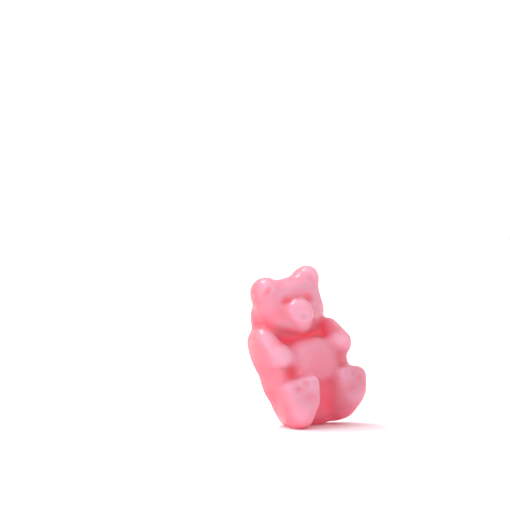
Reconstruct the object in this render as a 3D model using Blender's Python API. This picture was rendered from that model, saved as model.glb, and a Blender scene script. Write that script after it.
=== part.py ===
"""A gummy bear that sits with its paws on its tummy, cast in one piece on a flat back.

The bear is drawn upright, in millimetres: x runs across it, y from its face (negative) to its flat back at
y = 0, and z up from its seat. Each rounded form is a lump whose sides run straight to the back, because such
sweets are cast face down in a tray and nothing on them is undercut. The lumps are fused, their creases are
softened, and the eyes, mouth, ears and paw prints are pressed in. The middle of the back sinks a little, as it
does when the sweet dries. Then the bear is set down the way it rests, and brought to metres at the very end.
"""

import math
from typing import NamedTuple

import bmesh
import bpy
from mathutils import Matrix, Vector

MM = 0.001


class Lump(NamedTuple):
    """A rounded form that stands on the back. All lengths are in millimetres, and turn is in degrees."""

    x: float  # middle, to the side of the bear's middle line
    z: float  # middle, above the seat
    front: float  # its foremost point, off the back
    wide: float  # half its width
    tall: float  # half its height
    deep: float  # how far its front curves back before the sides run straight
    turn: float = 0.0  # turned about the depth axis, so that its inner side rises
    back: float = 0.0  # where its sides end, off the back
    square: float = 2.0  # 2 makes it an ellipsoid, and more fills out its corners


class Corner(NamedTuple):
    """A ball at a corner of a block. The block is the skin stretched round all its balls."""

    x: float
    z: float
    front: float
    radius: float
    deep: float
    back: float = 0.0


class Dent(NamedTuple):
    """A place pressed in: an oval with soft edges, turned about the depth axis."""

    x: float
    z: float
    wide: float  # half its width
    tall: float  # half its height
    depth: float
    turn: float = 0.0


class Print(NamedTuple):
    """A paw print: a pad with three toes round it, turned about the depth axis."""

    x: float
    z: float
    turn: float


class Nudge(NamedTuple):
    """A place where this bear is uneven: everything near it is pushed across and up."""

    x: float
    z: float
    reach: float
    across: float
    up: float


# Driving dimensions, with the bear 22.5 mm tall from its seat to the tips of its ears. Left and right are as
# seen from the front. A back below zero lets the hips bulge a little past the flat back
HEAD = Lump(x=0.15, z=17.5, front=7.2, wide=4.85, tall=4.5, deep=3.8, square=2.5)
NECK = Lump(x=-0.1, z=15.0, front=5.2, wide=5.4, tall=6.2, deep=3.4)
EAR = Lump(x=3.25, z=20.75, front=6.7, wide=2.1, tall=2.15, deep=3.2, back=1.6)
SHOULDERS = Lump(x=0.0, z=11.3, front=5.4, wide=7.0, tall=5.5, deep=3.4)
TRUNK = Lump(x=0.0, z=7.6, front=6.5, wide=6.45, tall=7.7, deep=3.8)
LEFT_FLANK = Lump(x=-5.1, z=7.6, front=5.8, wide=1.7, tall=4.0, deep=3.0)
RIGHT_FLANK = Lump(x=4.3, z=7.9, front=6.6, wide=1.9, tall=3.4, deep=3.0)
RUMP = Lump(x=1.3, z=3.8, front=4.8, wide=5.0, tall=4.4, deep=3.4, back=-0.5)
HAUNCH = Lump(x=3.0, z=3.5, front=4.8, wide=2.8, tall=2.9, deep=2.8)
TUMMY = Lump(x=0.05, z=8.65, front=7.7, wide=3.8, tall=3.7, deep=2.5, square=2.9)
LEFT_UPPER_ARM = Lump(x=-5.3, z=12.1, front=7.0, wide=2.0, tall=3.7, deep=3.2, turn=6.0)
LEFT_FOREARM = Lump(x=-4.9, z=10.5, front=7.8, wide=2.3, tall=2.3, deep=3.2, turn=-10.0, square=2.4)
RIGHT_UPPER_ARM = Lump(x=5.2, z=11.8, front=7.0, wide=2.1, tall=3.0, deep=3.4, turn=-8.0)
RIGHT_FOREARM = Lump(x=4.9, z=10.6, front=8.0, wide=2.2, tall=2.2, deep=3.0, turn=10.0, square=2.3)
MUZZLE = Lump(x=0.15, z=16.1, front=8.45, wide=2.15, tall=2.3, deep=1.8, square=2.3)

JAW = (
    Corner(x=2.3, z=16.0, front=6.7, radius=2.1, deep=2.8),
    Corner(x=-2.3, z=16.0, front=6.7, radius=2.1, deep=2.8),
    Corner(x=0.0, z=14.75, front=8.0, radius=1.95, deep=2.8),
)
ARMS = (LEFT_UPPER_ARM, LEFT_FOREARM, RIGHT_UPPER_ARM, RIGHT_FOREARM)
LEFT_FOOT = (
    Corner(x=-5.6, z=5.7, front=7.0, radius=1.1, deep=1.6, back=4.2),
    Corner(x=-2.1, z=5.65, front=8.7, radius=1.2, deep=1.4, back=5.0),
    Corner(x=-3.0, z=3.0, front=8.5, radius=1.75, deep=1.8, back=4.6),
    Corner(x=-4.5, z=1.15, front=8.0, radius=2.0, deep=2.2, back=4.0),
    Corner(x=-2.8, z=2.25, front=3.0, radius=2.2, deep=1.8, back=-0.9),
    Corner(x=-3.1, z=4.2, front=2.5, radius=2.5, deep=1.5, back=-0.9),
)
RIGHT_FOOT = (
    Corner(x=7.0, z=5.1, front=7.2, radius=1.55, deep=1.8, back=4.6),
    Corner(x=3.5, z=5.8, front=8.5, radius=1.15, deep=1.4, back=5.0),
    Corner(x=6.0, z=3.25, front=7.3, radius=1.95, deep=1.8, back=4.6),
    Corner(x=4.65, z=2.45, front=7.9, radius=2.05, deep=1.8, back=4.0),
    Corner(x=4.25, z=1.4, front=6.0, radius=2.15, deep=2.4),
    Corner(x=2.7, z=2.6, front=5.9, radius=2.1, deep=2.4),
    Corner(x=3.6, z=4.4, front=2.5, radius=2.6, deep=1.5),
)

LEFT_EYE = Dent(x=-1.35, z=18.3, wide=0.75, tall=0.6, depth=0.4)
RIGHT_EYE = Dent(x=2.15, z=17.95, wide=0.75, tall=0.65, depth=0.4)
BROW_HOLLOW = Dent(x=0.4, z=18.6, wide=2.3, tall=1.0, depth=0.2)
LEFT_EAR_HOLLOW = Dent(x=-3.6, z=20.4, wide=0.8, tall=0.4, depth=0.4, turn=-45.0)
RIGHT_EAR_HOLLOW = Dent(x=3.3, z=20.6, wide=0.9, tall=0.5, depth=0.35, turn=45.0)
MOUTH = Dent(x=0.1, z=15.3, wide=0.6, tall=0.35, depth=0.22)
SHOULDER_HOLLOW = Dent(x=4.7, z=13.3, wide=1.5, tall=1.5, depth=0.8)
BACK_HOLLOW = Dent(x=0.0, z=10.5, wide=3.6, tall=6.5, depth=0.45)
FACE = (LEFT_EYE, RIGHT_EYE, BROW_HOLLOW, LEFT_EAR_HOLLOW, RIGHT_EAR_HOLLOW, MOUTH)

PAD = Dent(x=0.0, z=0.0, wide=1.1, tall=1.0, depth=0.35)
TOE = Dent(x=0.0, z=2.3, wide=0.5, tall=0.5, depth=0.24)
TOE_ANGLE = 34.0
PRINTS = (Print(x=-3.35, z=3.3, turn=-5.0), Print(x=4.1, z=3.4, turn=24.0))

UNEVEN = (
    Nudge(x=5.8, z=18.0, reach=2.2, across=-0.25, up=0.0),
    Nudge(x=-5.8, z=14.4, reach=2.2, across=-0.6, up=0.0),
    Nudge(x=-4.9, z=18.0, reach=2.2, across=-0.85, up=0.0),
    Nudge(x=3.5, z=21.2, reach=2.0, across=0.15, up=0.55),
    Nudge(x=6.4, z=13.2, reach=1.5, across=-0.4, up=0.0),
    Nudge(x=5.8, z=7.3, reach=1.3, across=0.3, up=0.0),
    Nudge(x=5.0, z=10.2, reach=2.4, across=0.22, up=0.0),
)

# The hips are turned a little from the head, in degrees, about an upright line inside the bear
TWIST = 15.0
TWIST_FROM = 17.0
TWIST_TO = 6.0
TWIST_AXIS_DEPTH = 4.0

# It leans back and to one side, in degrees, onto one heel and its rump, which its weight has pressed flat
LEAN_BACK = 12.2
LEAN_SIDEWAYS = 12.3
FLAT_DEPTH = 0.3

# How the skin is made: its face size, the sides' widening to the back, the rounding of the back's rim, how far
# dents and nudges reach in half widths, the rounds of softening, and the number of triangles
VOXEL = 0.15
SIDE_DRAFT = 1.02
BACK_RIM = 1.0
DENT_END = 2.5
NUDGE_END = 2.5
MAIN_SOFTENING = 34
FINE_SOFTENING = 24
DENT_SOFTENING = 4
TRIANGLES = 6000

JELLY_COLOUR = (0.93, 0.36, 0.44, 1.0)
JELLY_ROUGHNESS = 0.3


def add_lump(bm, lump, side=1):
    """Adds one lump: a round front whose back half is flattened onto the back of the bear."""
    middle = Vector((side * lump.x, lump.deep - lump.front, lump.z))
    turned = Matrix.Rotation(math.radians(side * lump.turn), 4, "Y")
    ball = bmesh.ops.create_icosphere(bm, subdivisions=5, radius=1.0)["verts"]
    for vert in ball:
        vert.co /= sum(abs(way) ** lump.square for way in vert.co) ** (1.0 / lump.square)
        if vert.co.y > 0.0:
            rounding = BACK_RIM * (1.0 - vert.co.y) ** 2
            vert.co.x *= SIDE_DRAFT
            vert.co.z *= SIDE_DRAFT
            vert.co.y = (-lump.back - rounding - middle.y) / lump.deep
    size = Matrix.Diagonal((lump.wide, lump.deep, lump.tall, 1.0))
    bmesh.ops.transform(bm, verts=ball, matrix=Matrix.Translation(middle) @ turned @ size)


def add_pair(bm, lump):
    """Adds a lump and its mirror image."""
    for side in (-1, 1):
        add_lump(bm, lump, side)


def add_block(bm, corners):
    """Adds the skin stretched round the balls at a block's corners."""
    block = bmesh.new()
    for corner in corners:
        ball = bmesh.ops.create_icosphere(block, subdivisions=4, radius=1.0)["verts"]
        middle = Vector((corner.x, corner.deep - corner.front, corner.z))
        for vert in ball:
            if vert.co.y > 0.0:
                rounding = BACK_RIM * (1.0 - vert.co.y) ** 2
                vert.co.y = (-corner.back - rounding - middle.y) / corner.deep
        size = Matrix.Diagonal((corner.radius, corner.deep, corner.radius, 1.0))
        bmesh.ops.transform(block, verts=ball, matrix=Matrix.Translation(middle) @ size)
    bmesh.ops.delete(block, geom=block.faces[:], context="FACES_ONLY")
    bmesh.ops.delete(block, geom=block.edges[:], context="EDGES_FACES")
    hull = bmesh.ops.convex_hull(block, input=block.verts[:])
    inside = [item for item in hull["geom_interior"] if isinstance(item, bmesh.types.BMVert)]
    bmesh.ops.delete(block, geom=inside, context="VERTS")
    mesh = bpy.data.meshes.new("block")
    block.to_mesh(mesh)
    block.free()
    bm.from_mesh(mesh)
    bpy.data.meshes.remove(mesh)


def modified(bm, kind, **settings):
    """Gives bm's shape after one modifier, as a new bmesh, and frees bm."""
    mesh = bpy.data.meshes.new("work")
    bm.to_mesh(mesh)
    bm.free()
    work = bpy.data.objects.new("work", mesh)
    bpy.context.scene.collection.objects.link(work)
    modifier = work.modifiers.new("work", kind)
    for name, value in settings.items():
        setattr(modifier, name, value)
    evaluated = work.evaluated_get(bpy.context.evaluated_depsgraph_get())
    result = bmesh.new()
    result.from_mesh(evaluated.to_mesh())
    evaluated.to_mesh_clear()
    bpy.data.objects.remove(work)
    bpy.data.meshes.remove(mesh)
    return result


def soften(skin, rounds):
    """Moves every vertex halfway to the middle of its neighbours, as many rounds as given."""
    every_way = {"use_axis_x": True, "use_axis_y": True, "use_axis_z": True}
    for _ in range(rounds):
        bmesh.ops.smooth_vert(skin, verts=skin.verts, factor=0.5, **every_way)


def fused(bm, softening):
    """Fuses everything in bm to one skin of even faces, and softens its creases."""
    skin = modified(bm, "REMESH", mode="VOXEL", voxel_size=VOXEL)
    soften(skin, softening)
    return skin


def press(skin, dent, side=-1):
    """Presses a dent into the front (side -1) or the back (side 1), deepest in the middle and fading outwards."""
    turn = math.radians(dent.turn)
    for vert in skin.verts:
        across = vert.co.x - dent.x
        up = vert.co.z - dent.z
        along = (across * math.cos(turn) - up * math.sin(turn)) / dent.wide
        over = (across * math.sin(turn) + up * math.cos(turn)) / dent.tall
        away = math.hypot(along, over)
        if away < DENT_END and vert.normal.y * side > 0.0:
            vert.co.y -= side * dent.depth * math.exp(-away * away)


def make_uneven(skin):
    """Pushes the places where this bear is uneven."""
    for vert in skin.verts:
        for nudge in UNEVEN:
            away = math.hypot(vert.co.x - nudge.x, vert.co.z - nudge.z) / nudge.reach
            if away < NUDGE_END:
                vert.co += math.exp(-away * away) * Vector((nudge.across, 0.0, nudge.up))


def twist(skin):
    """Turns the hips from the head, little by little down the body."""
    for vert in skin.verts:
        share = min(max((TWIST_FROM - vert.co.z) / (TWIST_FROM - TWIST_TO), 0.0), 1.0)
        turn = math.radians(TWIST * share * share * (3.0 - 2.0 * share))
        x, y = vert.co.x, vert.co.y + TWIST_AXIS_DEPTH
        vert.co.x = x * math.cos(turn) - y * math.sin(turn)
        vert.co.y = x * math.sin(turn) + y * math.cos(turn) - TWIST_AXIS_DEPTH


def bear_form():
    """The whole bear as one fused skin, upright and in millimetres."""
    bm = bmesh.new()
    for lump in (HEAD, NECK, SHOULDERS, TRUNK, LEFT_FLANK, RIGHT_FLANK, RUMP, TUMMY, *ARMS):
        add_lump(bm, lump)
    for lump in (EAR, HAUNCH):
        add_pair(bm, lump)
    for corners in (LEFT_FOOT, RIGHT_FOOT, JAW):
        add_block(bm, corners)
    skin = fused(bm, MAIN_SOFTENING)
    add_lump(skin, MUZZLE)
    skin = fused(skin, FINE_SOFTENING)
    skin.normal_update()
    for dent in (*FACE, SHOULDER_HOLLOW):
        press(skin, dent)
    press(skin, BACK_HOLLOW, side=1)
    for paw in PRINTS:
        press(skin, PAD._replace(x=paw.x, z=paw.z))
        for step in (-1, 0, 1):
            angle = math.radians(paw.turn + step * TOE_ANGLE)
            press(skin, TOE._replace(x=paw.x + TOE.z * math.sin(angle), z=paw.z + TOE.z * math.cos(angle)))
    soften(skin, DENT_SOFTENING)
    make_uneven(skin)
    twist(skin)
    return skin


def set_down(skin):
    """Leans the bear onto one heel and its rump, presses them flat, and brings its box's bottom to zero."""
    sideways = Matrix.Rotation(math.radians(-LEAN_SIDEWAYS), 4, "Y")
    back = Matrix.Rotation(math.radians(-LEAN_BACK), 4, "X")
    bmesh.ops.transform(skin, verts=skin.verts, matrix=back @ sideways)
    floor = min(vert.co.z for vert in skin.verts) + FLAT_DEPTH
    for vert in skin.verts:
        vert.co.z = max(vert.co.z, floor)
    sides = [[vert.co[axis] for vert in skin.verts] for axis in (0, 1)]
    middle = [(min(side) + max(side)) / 2.0 for side in sides]
    bmesh.ops.translate(skin, verts=skin.verts, vec=(-middle[0], -middle[1], -floor))


def jelly():
    """Pink jelly, glossy and a little milky."""
    material = bpy.data.materials.new("pink_jelly")
    material.use_nodes = True
    shader = material.node_tree.nodes["Principled BSDF"]
    shader.inputs["Base Color"].default_value = JELLY_COLOUR
    shader.inputs["Roughness"].default_value = JELLY_ROUGHNESS
    shader.inputs["Metallic"].default_value = 0.0
    return material


def main():
    for old in list(bpy.data.objects):
        bpy.data.objects.remove(old)
    skin = bear_form()
    bmesh.ops.triangulate(skin, faces=skin.faces)
    skin = modified(skin, "DECIMATE", ratio=TRIANGLES / len(skin.faces))
    set_down(skin)
    bmesh.ops.scale(skin, vec=(MM, MM, MM), verts=skin.verts)
    mesh = bpy.data.meshes.new("gummy_bear")
    skin.to_mesh(mesh)
    skin.free()
    mesh.materials.append(jelly())
    mesh.shade_smooth()
    bear = bpy.data.objects.new("gummy_bear", mesh)
    bpy.context.scene.collection.objects.link(bear)


if __name__ == "__main__":
    main()
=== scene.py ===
# %% [markdown]
# # A pink gummy bear
#
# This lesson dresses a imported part: the part gives the bear's body, and this script gives its looks. A
# gummy bear is cast face down in a tray of starch, so its face, arms and soles are round and its back is
# flat. Nothing on it has a sharp edge, and almost everything that the eye reads as "gummy" comes from light
# that goes into the jelly, spreads, and comes out somewhere else. So the lesson has two halves: soft forms,
# and a material that lets light through.

import math
from typing import NamedTuple

import bmesh
import bpy
from mathutils import Matrix, Vector
from mathutils.bvhtree import BVHTree


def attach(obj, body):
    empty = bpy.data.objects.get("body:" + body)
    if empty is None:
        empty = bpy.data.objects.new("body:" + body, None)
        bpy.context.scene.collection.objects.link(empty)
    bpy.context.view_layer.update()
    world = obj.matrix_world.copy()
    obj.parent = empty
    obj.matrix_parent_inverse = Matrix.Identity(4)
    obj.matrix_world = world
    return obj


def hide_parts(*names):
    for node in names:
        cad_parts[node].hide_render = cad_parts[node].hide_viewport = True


MM = 0.001  # a millimetre, in metres

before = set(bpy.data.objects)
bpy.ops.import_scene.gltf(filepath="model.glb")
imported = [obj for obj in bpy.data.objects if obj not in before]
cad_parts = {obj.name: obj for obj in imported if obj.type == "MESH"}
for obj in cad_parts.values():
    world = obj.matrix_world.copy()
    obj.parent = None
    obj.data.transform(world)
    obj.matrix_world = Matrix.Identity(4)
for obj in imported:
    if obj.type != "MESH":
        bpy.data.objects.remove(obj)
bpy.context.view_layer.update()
print("packed nodes:", *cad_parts)

# %% [markdown]
# ## How a rounded form is made
#
# The bear is drawn upright, in millimetres: x runs across it, y from its face, which is negative, to its
# flat back at y = 0, and z up from its seat. Left and right are as seen from the front. All sizes are the
# part's own, because the finer bear has to fill the same space.
#
# Each rounded form is a *lump*: a ball whose front is round and whose sides run straight to the back, as
# everything cast in an open tray does. A lump starts as an icosphere, because its faces are even all over
# and it has no poles. Its back half is then pressed onto the back plane, a little less at the rim than in
# the middle, which leaves the soft edge that the starch gives.

# %% Lumps
BACK_RIM = 1.0  # how far the rim of the back is rounded
SIDE_DRAFT = 1.02  # how much a lump widens towards the back
LUMP_DETAIL = 5  # how often the faces of a lump's ball are split


class Lump(NamedTuple):
    """A rounded form that stands on the back. All lengths are in millimetres, and turn is in degrees."""

    x: float  # middle, to the side of the bear's middle line
    z: float  # middle, above the seat
    front: float  # its foremost point, off the back
    wide: float  # half its width
    tall: float  # half its height
    deep: float  # how far its front curves back before the sides run straight
    turn: float = 0.0  # turned about the depth axis, so that its inner side rises
    back: float = 0.0  # where its sides end, off the back
    square: float = 2.0  # 2 makes it an ellipsoid, and more fills out its corners


def press_onto_back(ball, form, middle, draft=1.0):
    """Presses the back half of a ball of radius 1 onto the plane where the form's sides end."""
    for vert in ball:
        if vert.co.y > 0.0:
            rounding = BACK_RIM * (1.0 - vert.co.y) ** 2
            vert.co.x *= draft
            vert.co.z *= draft
            vert.co.y = (-form.back - rounding - middle.y) / form.deep


def add_lump(bm, lump, side=1):
    """Adds one lump to bm, on its own side of the bear or, with side -1, on the other."""
    middle = Vector((side * lump.x, lump.deep - lump.front, lump.z))
    turned = Matrix.Rotation(math.radians(side * lump.turn), 4, "Y")
    ball = bmesh.ops.create_icosphere(bm, subdivisions=LUMP_DETAIL, radius=1.0)["verts"]
    for vert in ball:
        vert.co /= sum(abs(way) ** lump.square for way in vert.co) ** (1.0 / lump.square)
    press_onto_back(ball, lump, middle, SIDE_DRAFT)
    size = Matrix.Diagonal((lump.wide, lump.deep, lump.tall, 1.0))
    bmesh.ops.transform(bm, verts=ball, matrix=Matrix.Translation(middle) @ turned @ size)


body = bmesh.new()
print("a lump's back rim is rounded by", BACK_RIM, "mm")

# %% [markdown]
# ## Head, trunk and arms
#
# The bear's big forms overlap like balls of clay pushed together: a neck and shoulders under the head, and
# flanks, rump and haunches round the trunk. Few large lumps with clear jobs are easier to fit to a picture
# than many small ones. The tummy is a flatter lump, a little square, that stands out from the trunk. The
# ears and the haunches are twins, one on each side. The arms and the flanks differ from left to right.

# %% Head, trunk and arms
HEAD = Lump(x=0.15, z=17.5, front=7.2, wide=4.85, tall=4.5, deep=3.8, square=2.5)
NECK = Lump(x=-0.1, z=15.0, front=5.2, wide=5.4, tall=6.2, deep=3.4)
SHOULDERS = Lump(x=0.0, z=11.3, front=5.4, wide=7.0, tall=5.5, deep=3.4)
TRUNK = Lump(x=0.0, z=7.6, front=6.5, wide=6.45, tall=7.7, deep=3.8)
LEFT_FLANK = Lump(x=-5.1, z=7.6, front=5.8, wide=1.7, tall=4.0, deep=3.0)
RIGHT_FLANK = Lump(x=4.3, z=7.9, front=6.6, wide=1.9, tall=3.4, deep=3.0)
RUMP = Lump(x=1.3, z=3.8, front=4.8, wide=5.0, tall=4.4, deep=3.4, back=-0.5)
TUMMY = Lump(x=0.05, z=8.65, front=7.7, wide=3.8, tall=3.7, deep=2.5, square=2.9)
LEFT_UPPER_ARM = Lump(x=-5.3, z=12.1, front=7.0, wide=2.0, tall=3.7, deep=3.2, turn=6.0)
LEFT_FOREARM = Lump(x=-4.9, z=10.5, front=7.8, wide=2.3, tall=2.3, deep=3.2, turn=-10.0, square=2.4)
RIGHT_UPPER_ARM = Lump(x=5.2, z=11.8, front=7.0, wide=2.1, tall=3.0, deep=3.4, turn=-8.0)
RIGHT_FOREARM = Lump(x=4.9, z=10.6, front=8.0, wide=2.2, tall=2.2, deep=3.0, turn=10.0, square=2.3)
EAR = Lump(x=3.25, z=20.75, front=6.7, wide=2.1, tall=2.15, deep=3.2, back=1.6)
HAUNCH = Lump(x=3.0, z=3.5, front=4.8, wide=2.8, tall=2.9, deep=2.8)

BODY = (HEAD, NECK, SHOULDERS, TRUNK, LEFT_FLANK, RIGHT_FLANK, RUMP, TUMMY)
ARMS = (LEFT_UPPER_ARM, LEFT_FOREARM, RIGHT_UPPER_ARM, RIGHT_FOREARM)
TWINS = (EAR, HAUNCH)

for lump in (*BODY, *ARMS):
    add_lump(body, lump)
for side in (-1, 1):
    for lump in TWINS:
        add_lump(body, lump, side)
print("lumps:", len(BODY) + len(ARMS) + 2 * len(TWINS))

# %% [markdown]
# ## How a block is made
#
# The jaw and the feet have corners, which a lump can't give. Each is a *block*: the skin that cling film
# would stretch round a few balls. That skin is called a convex hull. Only the balls' points are needed for
# it, so their edges and faces are deleted first, and points that end up inside the skin are deleted after.

# %% Blocks
BALL_DETAIL = 4  # how often the faces of a block's balls are split


class Corner(NamedTuple):
    """A ball at a corner of a block. Its words mean what a lump's do."""

    x: float
    z: float
    front: float
    radius: float
    deep: float
    back: float = 0.0


def add_block(bm, corners):
    """Adds to bm the skin stretched round the balls at a block's corners."""
    block = bmesh.new()
    for corner in corners:
        middle = Vector((corner.x, corner.deep - corner.front, corner.z))
        ball = bmesh.ops.create_icosphere(block, subdivisions=BALL_DETAIL, radius=1.0)["verts"]
        press_onto_back(ball, corner, middle)
        size = Matrix.Diagonal((corner.radius, corner.deep, corner.radius, 1.0))
        bmesh.ops.transform(block, verts=ball, matrix=Matrix.Translation(middle) @ size)
    bmesh.ops.delete(block, geom=block.faces[:], context="FACES_ONLY")
    bmesh.ops.delete(block, geom=block.edges[:], context="EDGES_FACES")
    hull = bmesh.ops.convex_hull(block, input=block.verts[:])
    inside = [item for item in hull["geom_interior"] if isinstance(item, bmesh.types.BMVert)]
    bmesh.ops.delete(block, geom=inside, context="VERTS")
    mesh = bpy.data.meshes.new("block")
    block.to_mesh(mesh)
    block.free()
    bm.from_mesh(mesh)
    bpy.data.meshes.remove(mesh)


print("a ball of a block has", 10 * 4 ** (BALL_DETAIL - 1) + 2, "points")

# %% [markdown]
# ## Feet and jaw
#
# The bear sits with its soles to the viewer. A sole is nearly flat with four rounded corners, two at the
# toes and two at the heel, and the leg behind it is held by the corners further back. The jaw has a corner
# on each side and one in front, below the muzzle.

# %% Feet and jaw
LEFT_FOOT = (
    Corner(x=-5.6, z=5.7, front=7.0, radius=1.1, deep=1.6, back=4.2),
    Corner(x=-2.1, z=5.65, front=8.7, radius=1.2, deep=1.4, back=5.0),
    Corner(x=-3.0, z=3.0, front=8.5, radius=1.75, deep=1.8, back=4.6),
    Corner(x=-4.5, z=1.15, front=8.0, radius=2.0, deep=2.2, back=4.0),
    Corner(x=-2.8, z=2.25, front=3.0, radius=2.2, deep=1.8, back=-0.9),
    Corner(x=-3.1, z=4.2, front=2.5, radius=2.5, deep=1.5, back=-0.9),
)
RIGHT_FOOT = (
    Corner(x=7.0, z=5.1, front=7.2, radius=1.55, deep=1.8, back=4.6),
    Corner(x=3.5, z=5.8, front=8.5, radius=1.15, deep=1.4, back=5.0),
    Corner(x=6.0, z=3.25, front=7.3, radius=1.95, deep=1.8, back=4.6),
    Corner(x=4.65, z=2.45, front=7.9, radius=2.05, deep=1.8, back=4.0),
    Corner(x=4.25, z=1.4, front=6.0, radius=2.15, deep=2.4),
    Corner(x=2.7, z=2.6, front=5.9, radius=2.1, deep=2.4),
    Corner(x=3.6, z=4.4, front=2.5, radius=2.6, deep=1.5),
)
JAW = (
    Corner(x=2.3, z=16.0, front=6.7, radius=2.1, deep=2.8),
    Corner(x=-2.3, z=16.0, front=6.7, radius=2.1, deep=2.8),
    Corner(x=0.0, z=14.75, front=8.0, radius=1.95, deep=2.8),
)

for corners in (LEFT_FOOT, RIGHT_FOOT, JAW):
    add_block(body, corners)
print("lumps and blocks:", len(body.faces), "faces")

# %% [markdown]
# ## One skin
#
# The forms still run through each other. A Boolean union could join them, but a Remesh modifier in voxel
# mode does more: it keeps only the outer surface and covers it with small even faces, finer here than in
# the part. Rounds of vertex smoothing then soften the creases, as jelly flows a little before it sets. Each
# round spreads the softening less than the one before, so the number of rounds grows with the square of the
# reach. The muzzle joins last and is smoothed less, because it stands out more crisply than the limbs do.

# %% Fuse and soften
MUZZLE = Lump(x=0.15, z=16.1, front=8.45, wide=2.15, tall=2.3, deep=1.8, square=2.3)
VOXEL = 0.12  # the skin's face size
BODY_SOFTENING = 0.875
MUZZLE_SOFTENING = 0.73
HALF_WAY = 0.5  # how far a round moves a vertex towards the middle of its neighbours


def remeshed(bm, face=VOXEL):
    """Gives the outer skin of bm, in even faces of the given size, as a new bmesh, and frees bm."""
    mesh = bpy.data.meshes.new("work")
    bm.to_mesh(mesh)
    bm.free()
    work = bpy.data.objects.new("work", mesh)
    bpy.context.scene.collection.objects.link(work)
    remesh = work.modifiers.new("skin", "REMESH")
    remesh.mode = "VOXEL"
    remesh.voxel_size = face
    evaluated = work.evaluated_get(bpy.context.evaluated_depsgraph_get())
    result = bmesh.new()
    result.from_mesh(evaluated.to_mesh())
    evaluated.to_mesh_clear()
    bpy.data.objects.remove(work)
    bpy.data.meshes.remove(mesh)
    return result


def soften(bm, reach, face=VOXEL):
    """Smooths all of bm, so that creases soften over about this many millimetres."""
    all_ways = {"use_axis_x": True, "use_axis_y": True, "use_axis_z": True}
    for _ in range(round((reach / face) ** 2)):
        bmesh.ops.smooth_vert(bm, verts=bm.verts, factor=HALF_WAY, **all_ways)


skin = remeshed(body)
soften(skin, BODY_SOFTENING)
add_lump(skin, MUZZLE)
skin = remeshed(skin)
soften(skin, MUZZLE_SOFTENING)
skin.normal_update()
print("one skin:", len(skin.faces), "faces")

# %% [markdown]
# ## How a dent is pressed
#
# The mould has small pegs for the eyes, the mouth, the ears' hollows and the prints on the soles. Each
# leaves a dent with soft edges. It could be sculpted by hand, but a bell curve gives that shape by rule:
# deepest in the middle, and fading to nothing at the rim. Only skin that faces the peg is pressed, which is
# where its normal points to the peg's side. How deep each place was pressed is kept on the skin in a layer
# of its own, because the dents are painted a deeper coral later: painted shade.

# %% Dents
BELL_END = 2.5  # beyond this many half widths, a bell curve counts as nothing

pressed_layer = skin.verts.layers.float.new("pressed")


class Dent(NamedTuple):
    """A place pressed in: an oval with soft edges. All lengths are in millimetres."""

    x: float
    z: float
    wide: float  # half its width
    tall: float  # half its height
    depth: float
    turn: float = 0.0  # in degrees, about the depth axis


def bell(away):
    """Gives 1 in the middle, where away is 0, less and less outwards, and 0 from BELL_END on."""
    return math.exp(-away * away) if away < BELL_END else 0.0


def press(bm, dent, side=-1):
    """Presses a dent into the front (side -1) or the back (side 1), and adds to the pressed layer."""
    turn = math.radians(dent.turn)
    for vert in bm.verts:
        across = vert.co.x - dent.x
        up = vert.co.z - dent.z
        along = (across * math.cos(turn) - up * math.sin(turn)) / dent.wide
        over = (across * math.sin(turn) + up * math.cos(turn)) / dent.tall
        depth = dent.depth * bell(math.hypot(along, over))
        if depth and vert.normal.y * side > 0.0:
            vert.co.y -= side * depth
            vert[pressed_layer] += depth


print("a dent ends", BELL_END, "half widths from its middle")

# %% [markdown]
# ## Face, ears, paws and back
#
# The eyes and the mouth are shallow, as on most sweets of this kind. A wide faint hollow sets off the brow
# from the muzzle, and one above the right arm sets off the cheek. A paw print is a pad with three toes round
# it. The back, the open side of the mould, gets one wide shallow dent, because it sinks a little while the
# sweet dries. A last short smoothing takes the edge off all of them.

# %% Press the dents
FRONT_DENTS = (
    Dent(x=-1.35, z=18.3, wide=0.75, tall=0.6, depth=0.4),  # left eye
    Dent(x=2.15, z=17.95, wide=0.75, tall=0.65, depth=0.4),  # right eye
    Dent(x=0.4, z=18.6, wide=2.3, tall=1.0, depth=0.2),  # between brow and muzzle
    Dent(x=-3.6, z=20.4, wide=0.8, tall=0.4, depth=0.4, turn=-45.0),  # left ear
    Dent(x=3.3, z=20.6, wide=0.9, tall=0.5, depth=0.35, turn=45.0),  # right ear
    Dent(x=0.1, z=15.3, wide=0.6, tall=0.35, depth=0.22),  # mouth
    Dent(x=4.7, z=13.3, wide=1.5, tall=1.5, depth=0.8),  # between right arm and cheek
)
BACK_DENT = Dent(x=0.0, z=10.5, wide=3.6, tall=6.5, depth=0.45)
PAD = Dent(x=0.0, z=0.0, wide=1.1, tall=1.0, depth=0.35)
TOE = Dent(x=0.0, z=2.3, wide=0.5, tall=0.5, depth=0.24)
TOE_ANGLE = 34.0  # from one toe to the next, seen from the pad
TOE_STEPS = (-1, 0, 1)
DENT_SOFTENING = 0.3


class Print(NamedTuple):
    """A paw print: the middle of its pad, and how far it is turned about the depth axis."""

    x: float
    z: float
    turn: float


PRINTS = (Print(x=-3.35, z=3.3, turn=-5.0), Print(x=4.1, z=3.4, turn=24.0))

for dent in FRONT_DENTS:
    press(skin, dent)
press(skin, BACK_DENT, side=1)
for paw in PRINTS:
    press(skin, PAD._replace(x=paw.x, z=paw.z))
    for step in TOE_STEPS:
        angle = math.radians(paw.turn + step * TOE_ANGLE)
        press(skin, TOE._replace(x=paw.x + TOE.z * math.sin(angle), z=paw.z + TOE.z * math.cos(angle)))
soften(skin, DENT_SOFTENING)
print("dents pressed:", len(FRONT_DENTS) + 1 + len(PRINTS) * (1 + len(TOE_STEPS)))
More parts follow.
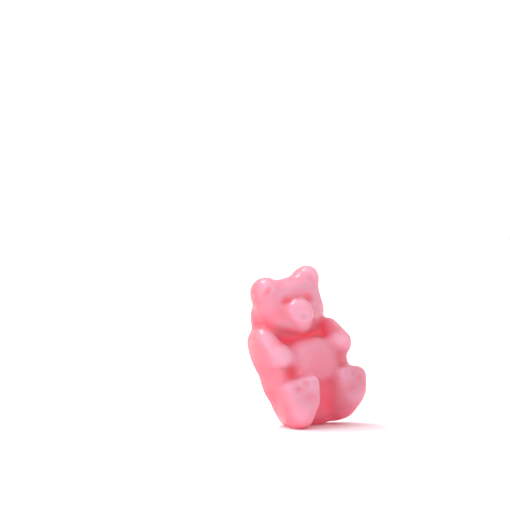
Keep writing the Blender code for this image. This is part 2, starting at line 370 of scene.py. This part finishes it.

# %% [markdown]
# ## Painted shade where light has gone through most jelly
#
# Under the chin, between the legs, beside the muzzle and in a few more places, shade falls and what light
# gets in has crossed a lot of jelly. These places are painted a deeper coral than their hollows alone give:
# painted shade. Each is a soft oval on the front. Painting by hand would do it too, but ovals with sizes can
# be tuned one by one. Their shares are kept on the skin for the material.

# %% Mark the painted shade
class PaintedShade(NamedTuple):
    """A place on the front painted a deeper coral, as painted shade, fading out to its rim."""

    x: float
    z: float
    wide: float  # half its width
    tall: float  # half its height
    share: float  # how much coral in its middle: 1 is all of it, and more keeps it full further out


PAINTED_SHADES = (
    PaintedShade(x=-0.1, z=12.3, wide=4.6, tall=1.0, share=0.6),  # under the chin
    PaintedShade(x=0.3, z=18.5, wide=2.5, tall=1.1, share=0.06),  # over the muzzle
    PaintedShade(x=-2.9, z=16.6, wide=1.0, tall=1.7, share=0.3),  # beside the muzzle
    PaintedShade(x=-5.2, z=16.6, wide=1.2, tall=1.5, share=1.3),  # left temple
    PaintedShade(x=4.2, z=13.4, wide=1.4, tall=1.4, share=0.1),  # right shoulder
    PaintedShade(x=0.6, z=1.7, wide=1.8, tall=2.4, share=0.6),  # between the legs
    PaintedShade(x=0.0, z=9.0, wide=3.2, tall=3.0, share=0.25),  # tummy
    PaintedShade(x=1.0, z=4.8, wide=1.4, tall=2.0, share=0.2),  # below the tummy
    PaintedShade(x=-5.0, z=7.3, wide=2.8, tall=0.9, share=0.22),  # over the left foot
)

# Each marked place's painted shade is kept on the skin, more where it faces the front.
painted_shade_layer = skin.verts.layers.float.new("painted_shade")
skin.normal_update()
for vert in skin.verts:
    facing_front = max(-vert.normal.y, 0.0)
    for painted_shade in PAINTED_SHADES:
        away = math.hypot((vert.co.x - painted_shade.x) / painted_shade.wide, (vert.co.z - painted_shade.z) / painted_shade.tall)
        vert[painted_shade_layer] += painted_shade.share * bell(away) * facing_front
print("glowing places:", len(PAINTED_SHADES))

# %% [markdown]
# ## A little uneven
#
# A real sweet is never quite even. A few places are pushed across or up, each with a bell curve of its own,
# and the hips are turned a little from the head, as happens when a soft sweet is tipped out of its mould.
# Random noise would be quicker, but it would also move the outline where it should stay. The turn eases in
# and out on its way down, so that no crease shows where it starts.

# %% Make it uneven
class Nudge(NamedTuple):
    """A place where this bear is uneven: everything near it is pushed across and up."""

    x: float
    z: float
    reach: float
    across: float
    up: float = 0.0


NUDGES = (
    Nudge(x=5.8, z=18.0, reach=2.2, across=-0.25),
    Nudge(x=-5.8, z=14.4, reach=2.2, across=-0.6),
    Nudge(x=-4.9, z=18.0, reach=2.2, across=-0.85),
    Nudge(x=3.5, z=21.2, reach=2.0, across=0.15, up=0.55),
    Nudge(x=6.4, z=13.2, reach=1.5, across=-0.4),
    Nudge(x=5.8, z=7.3, reach=1.3, across=0.3),
    Nudge(x=5.0, z=10.2, reach=2.4, across=0.22),
)
TWIST = 15.0  # degrees that the hips are turned
TWIST_FROM = 17.0  # the height where the turn starts
TWIST_TO = 6.0  # the height below which the bear is turned in full
TWIST_DEPTH = 4.0  # how far in front of the back the axis of the turn lies

for vert in skin.verts:
    for nudge in NUDGES:
        share = bell(math.hypot(vert.co.x - nudge.x, vert.co.z - nudge.z) / nudge.reach)
        if share:
            vert.co += share * Vector((nudge.across, 0.0, nudge.up))

for vert in skin.verts:
    share = min(max((TWIST_FROM - vert.co.z) / (TWIST_FROM - TWIST_TO), 0.0), 1.0)
    turn = math.radians(TWIST * share * share * (3.0 - 2.0 * share))
    x, y = vert.co.x, vert.co.y + TWIST_DEPTH
    vert.co.x = x * math.cos(turn) - y * math.sin(turn)
    vert.co.y = x * math.sin(turn) + y * math.cos(turn) - TWIST_DEPTH
print("places pushed:", len(NUDGES), "- hips turned by", TWIST, "degrees")

# %% [markdown]
# ## How deep each place lies
#
# In the real jelly the creases are a deeper red than the raised forms, because less light reaches them and
# what does has gone through more of it. Here that shade is painted into the colour, so the material needs to
# know where the creases are. A coarse copy of the bear is smoothed until only its broad form is left. Where
# the true skin lies below the copy, it is a hollow, and where it stands above, it is a ridge. Smoothing also
# shrinks the copy, so the middle one of all the distances counts as level.
#
# Places that face the front, and a little those that face the back, are painted paler, as painted light. So
# how far each place faces the front or the back is measured as well. Both results are kept on the skin, one
# number each for each vertex.

# %% Measure the hollows
BROAD_FACE = 0.35  # the coarse copy's face size
BROAD_REACH = 2.6  # how far it is softened
BACK_FACING_SHARE = 0.4  # how pale the back is painted, where the front's share is 1

broad = remeshed(skin.copy(), BROAD_FACE)
soften(broad, BROAD_REACH, BROAD_FACE)
broad_surface = BVHTree.FromBMesh(broad)
broad.free()
skin.normal_update()
depths = []
for vert in skin.verts:
    nearest = broad_surface.find_nearest(vert.co)[0]
    depths.append((nearest - vert.co).dot(vert.normal))
level = sorted(depths)[len(depths) // 2]
hollow_layer = skin.verts.layers.float.new("hollow")
front_or_back_facing_layer = skin.verts.layers.float.new("front_or_back_facing")
for vert, depth in zip(skin.verts, depths):
    vert[hollow_layer] = depth - level
    vert[front_or_back_facing_layer] = max(-vert.normal.y, BACK_FACING_SHARE * vert.normal.y)
print("hollows, mm: from", round(min(depths) - level, 2), "to", round(max(depths) - level, 2))

# %% [markdown]
# ## Setting the bear down
#
# The bear rests as the part does: it leans back and to one side, onto a heel and its rump, which its own
# weight has pressed flat. A simulation of the soft sweet could find that pose, but the part's own angles are
# known, so two turns and a flat cut do it. Its box's bottom middle comes to the origin, and only then does it
# become metres.

# %% Set it down
LEAN_BACK = 12.2  # degrees
LEAN_SIDEWAYS = 12.3  # degrees
FLAT_DEPTH = 0.3  # how much of the lowest point its weight has pressed flat

lean_back = Matrix.Rotation(math.radians(-LEAN_BACK), 4, "X")
lean_sideways = Matrix.Rotation(math.radians(-LEAN_SIDEWAYS), 4, "Y")
lean = lean_back @ lean_sideways
bmesh.ops.transform(skin, verts=skin.verts, matrix=lean)
floor_level = min(vert.co.z for vert in skin.verts) + FLAT_DEPTH
for vert in skin.verts:
    vert.co.z = max(vert.co.z, floor_level)
sides = [[vert.co[axis] for vert in skin.verts] for axis in (0, 1)]
middle = [(min(side) + max(side)) / 2.0 for side in sides]
to_origin = Vector((-middle[0], -middle[1], -floor_level))
bmesh.ops.translate(skin, verts=skin.verts, vec=to_origin)
bmesh.ops.scale(skin, vec=(MM, MM, MM), verts=skin.verts)
print("pressed flat:", sum(vert.co.z == 0.0 for vert in skin.verts), "vertices")

# %% [markdown]
# ## One piece
#
# The skin becomes an object that stands for the part's one solid and rides on its one body. Smooth shading
# lets its small faces look like one surface.

# %% Make the bear's object
bear_mesh = bpy.data.meshes.new("bear")
skin.to_mesh(bear_mesh)
skin.free()
bear_mesh.shade_smooth()
bear = bpy.data.objects.new("bear", bear_mesh)
bpy.context.scene.collection.objects.link(bear)
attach(bear, "root")
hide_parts("gummy_bear")
print("bear:", sum(len(face.vertices) - 2 for face in bear_mesh.polygons), "triangles")

# %% [markdown]
# ## Two small helpers for materials
#
# A material is a graph of nodes, and graphs are easier to read as formulas. The first class wraps one output
# socket. Adding or multiplying two of them adds a Math node, so a mask can be written as `1 - mask`. Any
# other node comes from one method of the second class: its settings are set first, because they can change
# which sockets a node has, and then the sockets get their values or links.

# %% Shader helpers
MIX_LOW, MIX_HIGH, MIX_RESULT = 6, 7, 2  # a Mix node's sockets for colours, among those for other kinds


class Value:
    """An output socket, with Python's arithmetic for one that holds a number."""

    def __init__(self, graph, socket):
        self.graph = graph
        self.socket = socket

    def math(self, operation, other, clamp=False):
        settings = {"operation": operation, "use_clamp": clamp}
        return self.graph.node("ShaderNodeMath", settings, {0: self, 1: other})

    def __add__(self, other):
        return self.math("ADD", other)

    def __mul__(self, other):
        return self.math("MULTIPLY", other)

    def __sub__(self, other):
        return self.math("SUBTRACT", other)

    def __rsub__(self, other):
        return self.graph.node("ShaderNodeMath", {"operation": "SUBTRACT"}, {0: other, 1: self})

    __radd__ = __add__
    __rmul__ = __mul__


class Graph:
    """The node tree of one material."""

    def __init__(self, name):
        self.material = bpy.data.materials.new(name)
        self.material.use_nodes = True
        self.tree = self.material.node_tree
        self.tree.nodes.clear()

    def node(self, kind, settings=None, inputs=None, output=0):
        """Adds a node: its settings first, then its sockets, each a number, a colour or a link."""
        made = self.tree.nodes.new(kind)
        for name, setting in (settings or {}).items():
            setattr(made, name, setting)
        for name, given in (inputs or {}).items():
            if isinstance(given, Value):
                self.tree.links.new(given.socket, made.inputs[name])
            else:
                made.inputs[name].default_value = given
        return Value(self, made.outputs[output]) if len(made.outputs) else made

    def mix(self, share, low, high):
        """Goes from colour low to colour high as share goes from 0 to 1."""
        inputs = {"Factor": share, MIX_LOW: low, MIX_HIGH: high}
        return self.node("ShaderNodeMix", {"data_type": "RGBA"}, inputs, output=MIX_RESULT)

    def fade(self, amount, start, end, most=1.0):
        """Eases from 0 to most as amount goes from start to end."""
        inputs = {"Value": amount, "From Min": start, "From Max": end, "To Min": 0.0, "To Max": most}
        return self.node("ShaderNodeMapRange", {"interpolation_type": "SMOOTHSTEP"}, inputs)

    def kept(self, layer):
        """Reads a number that was kept on the skin for each vertex."""
        return self.node("ShaderNodeAttribute", {"attribute_name": layer}, output="Fac")


BLACK = (0.0, 0.0, 0.0, 1.0)
WHITE = (1.0, 1.0, 1.0, 1.0)
print("a mix goes from socket", MIX_LOW, "to socket", MIX_HIGH)

# %% [markdown]
# ## The jelly's colour
#
# Gelatin jelly is clear, but pigment and tiny bubbles make this one milky pink. One flat colour would look
# like painted wood, because on the real sweet light and shade follow the form, so here they are painted into
# the colour. Places that face the front or the back are painted a pale pink, ridges most: painted light.
# Hollows, dents and the marked places are painted a deep coral: painted shade. Towards the seat and the right
# side, along a slanted line, it is painted a darker pink as well: painted shade away from the lamps. Each of
# these is a mask between 0 and 1 that mixes one more colour in.

# %% Colour of the jelly
# Pink is the jelly's own colour; pale pink is painted light, and coral and the darker pink are painted shade.
PALE_PINK = (0.66, 0.57, 0.71, 1.0)
PINK = (0.63, 0.11, 0.15, 1.0)
CORAL = (0.83, 0.085, 0.13, 1.0)
SHADED_PINK = (0.47, 0.12, 0.18, 1.0)
LEVEL_PALE = 0.5  # how much painted light a level place gets
RIDGE_PALE = 0.3  # how much more for each millimetre of ridge
HOLLOW_SHADE = 0.65  # how much painted shade, in coral, for each millimetre of hollow
DENT_SHADE = 0.35  # and for each millimetre of dent
SHADE_WAY = (0.8, 0.0, -0.6)  # the way in which the painted shade gets stronger
SHADE_FROM, SHADE_TO = -0.008, 0.003  # where it starts to and where it has, in metres along that way
SHADE_SHARE = 0.28

jelly = Graph("milky_pink_jelly")
place = jelly.node("ShaderNodeTexCoord", output="Object")
hollow = jelly.kept("hollow")
# Painted light: paler where the skin faces the front or the back, and more on ridges.
painted_light_share = (LEVEL_PALE - hollow * RIDGE_PALE).math("MULTIPLY", jelly.kept("front_or_back_facing"), clamp=True)
# Painted shade: coral in the hollows, in the dents and in the marked places.
coral_shade_amount = hollow * HOLLOW_SHADE + jelly.kept("pressed") * DENT_SHADE + jelly.kept("painted_shade")
coral_shade_share = coral_shade_amount.math("MAXIMUM", 0.0, clamp=True)
# Painted shade: darker towards the seat and the right side, away from the lamps.
along = jelly.node("ShaderNodeVectorMath", {"operation": "DOT_PRODUCT"}, {0: place, 1: SHADE_WAY}, "Value")
side_shade_share = jelly.fade(along, SHADE_FROM, SHADE_TO, SHADE_SHARE)
colour_with_painted_light = jelly.mix(painted_light_share, PINK, PALE_PINK)
colour_with_painted_light = jelly.mix(side_shade_share, colour_with_painted_light, SHADED_PINK)
colour_with_painted_light = jelly.mix(coral_shade_share, colour_with_painted_light, CORAL)
print("nodes for the colour:", len(jelly.tree.nodes))

# %% [markdown]
# ## The jelly's gloss
#
# On top lies a thin film of oil and wax that keeps the sweets from sticking. It gives a broad soft gloss.
# The film is thicker in some places than in others, so a cloudy noise varies the roughness. The same noise,
# with far finer ripples added, drives a bump of a tenth of a millimetre. Modelling that relief would take
# millions of faces, and nobody would see the difference.

# %% Gloss of the jelly
CLOUD_SCALE, CLOUD_DETAIL = 260.0, 3.0
RIPPLE_SCALE, RIPPLE_DETAIL = 4200.0, 2.0
SMOOTHEST = 0.14
ROUGHNESS_RANGE = 0.16
RIPPLE_SHARE = 0.7  # how high the ripples are, where the clouds are 1
BUMP_STRENGTH = 0.45
BUMP_HEIGHT = 0.00012  # metres


def noise(scale, detail):
    """Adds a noise that sits still on the bear."""
    return jelly.node("ShaderNodeTexNoise", inputs={"Vector": place, "Scale": scale, "Detail": detail})


clouds = noise(CLOUD_SCALE, CLOUD_DETAIL)
ripples = noise(RIPPLE_SCALE, RIPPLE_DETAIL)
roughness = clouds * ROUGHNESS_RANGE + SMOOTHEST
relief = {"Strength": BUMP_STRENGTH, "Distance": BUMP_HEIGHT, "Height": clouds + ripples * RIPPLE_SHARE}
bump = jelly.node("ShaderNodeBump", inputs=relief)
print("roughness: from", SMOOTHEST, "to", round(SMOOTHEST + ROUGHNESS_RANGE, 2))

# %% [markdown]
# ## Light inside the jelly
#
# Light enters the jelly, scatters, and leaves a few millimetres away, red light furthest. That is subsurface
# scattering, with a wide radius in red and a short one in green and blue. Glass with a coloured inside could
# be used instead, but it renders slowly and looks too clear. Some of the light that enters the head leaves
# through the seat, more than the scattering carries so far, so the lowest few millimetres get a faint coral
# emission of their own: painted light.

# %% Shader of the jelly
SCATTER_RADIUS = (1.0, 0.17, 0.2)  # how far red, green and blue spread, against each other
SCATTER_REACH = 0.005  # how far red spreads, in metres
SCATTER_FORWARD = 0.3  # how much of the light goes straight on
JELLY_IOR = 1.44
JELLY_GLOSS = 0.3
# The seat's faint coral emission is painted light.
SEAT_GLOW = 0.2
SEAT_GLOW_TOP = 0.005  # metres above the floor

height = jelly.node("ShaderNodeSeparateXYZ", inputs={"Vector": place}, output="Z")
seat_share = jelly.fade(height, SEAT_GLOW_TOP, 0.0)
shader = jelly.node(
    "ShaderNodeBsdfPrincipled",
    inputs={
        "Base Color": colour_with_painted_light,
        "Roughness": roughness,
        "IOR": JELLY_IOR,
        "Specular IOR Level": JELLY_GLOSS,
        "Subsurface Weight": 1.0,
        "Subsurface Radius": SCATTER_RADIUS,
        "Subsurface Scale": SCATTER_REACH,
        "Subsurface Anisotropy": SCATTER_FORWARD,
        "Emission Color": jelly.mix(seat_share, BLACK, CORAL),
        "Emission Strength": SEAT_GLOW,
        "Normal": bump,
    },
)
jelly.node("ShaderNodeOutputMaterial", inputs={"Surface": shader})
bear_mesh.materials.append(jelly.material)
print("finish:", jelly.material.name, "with", len(jelly.tree.nodes), "nodes")

# %% [markdown]
# ## A pale floor
#
# The bear sits on a plain white sheet, wide enough for its far edge to be lost in the white of the room. One
# large face does it, because nothing shows on it but the soft shadow. Pink light from the jelly falls on the
# paper round the bear. The render finds only part of that light, so a faint pink is painted on the paper
# there: painted light, which also tints the shadow.

# %% Floor
FLOOR_SIZE = 1.6  # metres
PAPER_WHITE = (0.96, 0.96, 0.96, 1.0)
PAPER_PINK_LIGHT = (0.96, 0.84, 0.89, 1.0)
PAPER_ROUGHNESS = 0.9
PINK_LIGHT_REACH = 0.05  # metres

floor_bm = bmesh.new()
bmesh.ops.create_grid(floor_bm, x_segments=1, y_segments=1, size=FLOOR_SIZE / 2)
floor_mesh = bpy.data.meshes.new("floor")
floor_bm.to_mesh(floor_mesh)
floor_bm.free()
paper = Graph("white_paper")
spot = paper.node("ShaderNodeTexCoord", output="Object")
from_bear = paper.node("ShaderNodeVectorMath", {"operation": "LENGTH"}, {0: spot}, "Value")
paper_colour = paper.mix(paper.fade(from_bear, PINK_LIGHT_REACH, 0.0), PAPER_WHITE, PAPER_PINK_LIGHT)
sheet_look = {"Base Color": paper_colour, "Roughness": PAPER_ROUGHNESS}
sheet = paper.node("ShaderNodeBsdfPrincipled", inputs=sheet_look)
paper.node("ShaderNodeOutputMaterial", inputs={"Surface": sheet})
floor_mesh.materials.append(paper.material)
floor = bpy.data.objects.new("floor", floor_mesh)
bpy.context.scene.collection.objects.link(floor)
print("floor:", FLOOR_SIZE, "m")

# %% [markdown]
# ## Soft studio light
#
# A white room lights the bear from everywhere, which keeps its shadow thin. Two round lamps give the sheen,
# because a white room alone leaves jelly looking dull: a large one, high behind the bear on the left, for
# the ears, the brow and the top of the muzzle, and a small one, lower on the left, for the arm. A lamp
# shines along its own -Z, so +Z is turned to point away from the bear.

# %% Light
ROOM_STRENGTH = 1.04
KEY_PLACE = Vector((-0.14, 0.18, 0.37))
KEY_SIZE = 0.15
KEY_POWER = 1.3
SHEEN_PLACE = Vector((-0.36, -0.11, 0.18))
SHEEN_SIZE = 0.07
SHEEN_POWER = 0.42


def add_lamp(name, place, size, power):
    """Adds a round lamp, aimed at the origin. Lengths are in metres, and power is in watts."""
    light = bpy.data.lights.new(name, "AREA")
    light.shape = "DISK"
    light.size = size
    light.energy = power
    lamp = bpy.data.objects.new(name, light)
    lamp.location = place
    lamp.rotation_euler = place.to_track_quat("Z", "Y").to_euler()
    bpy.context.scene.collection.objects.link(lamp)
    print(name, "lamp:", round(place.length, 2), "m away")


world = bpy.data.worlds.new("white_room")
bpy.context.scene.world = world
world.use_nodes = True
room = world.node_tree.nodes["Background"]
room.inputs["Color"].default_value = WHITE
room.inputs["Strength"].default_value = ROOM_STRENGTH
add_lamp("key", KEY_PLACE, KEY_SIZE, KEY_POWER)
add_lamp("sheen", SHEEN_PLACE, SHEEN_SIZE, SHEEN_POWER)

# %% [markdown]
# ## The camera
#
# The photo was taken from low down and a little to the left, with a long lens. The angles are known for the
# upright bear, so the same lean and move that set the bear down bring the camera along. The bear is low and
# to the right in the picture. The camera therefore aims past it, up and to the left, because a shifted lens
# would spoil the views from other sides.

# %% Camera
UPRIGHT_MIDDLE = Vector((0.0, -4.5, 11.25))  # millimetres, as all lengths here
DISTANCE = 350.0
CAMERA_YAW = 16.7  # degrees
CAMERA_PITCH = -3.7  # degrees
PICTURE_WIDTH = 76.6  # how much of the bear's surroundings the picture spans
AIM_LEFT = 7.3
AIM_UP = 13.7
SENSOR = 36.0
NEAREST_SEEN = 0.01  # metres

yaw = Matrix.Rotation(math.radians(-CAMERA_YAW), 4, "Z")
pitch = Matrix.Rotation(math.radians(-CAMERA_PITCH), 4, "X")
away = (lean @ (yaw @ pitch) @ Vector((0.0, -1.0, 0.0))).normalized()
bear_middle = lean @ UPRIGHT_MIDDLE + to_origin
camera_place = bear_middle + away * DISTANCE
sight = (-away).to_track_quat("-Z", "Y")
aim = bear_middle + sight @ Vector((-AIM_LEFT, AIM_UP, 0.0))

camera_data = bpy.data.cameras.new("camera")
camera_data.sensor_width = SENSOR
camera_data.lens = SENSOR * DISTANCE / PICTURE_WIDTH
camera_data.clip_start = NEAREST_SEEN
camera = bpy.data.objects.new("camera", camera_data)
camera.location = camera_place * MM
camera.rotation_mode = "QUATERNION"
camera.rotation_quaternion = (aim - camera_place).to_track_quat("-Z", "Y")
bpy.context.scene.collection.objects.link(camera)
bpy.context.scene.camera = camera
bpy.context.scene.view_settings.view_transform = "Standard"
print("camera elevation:", round(math.degrees(math.asin(away.z)), 1), "degrees")
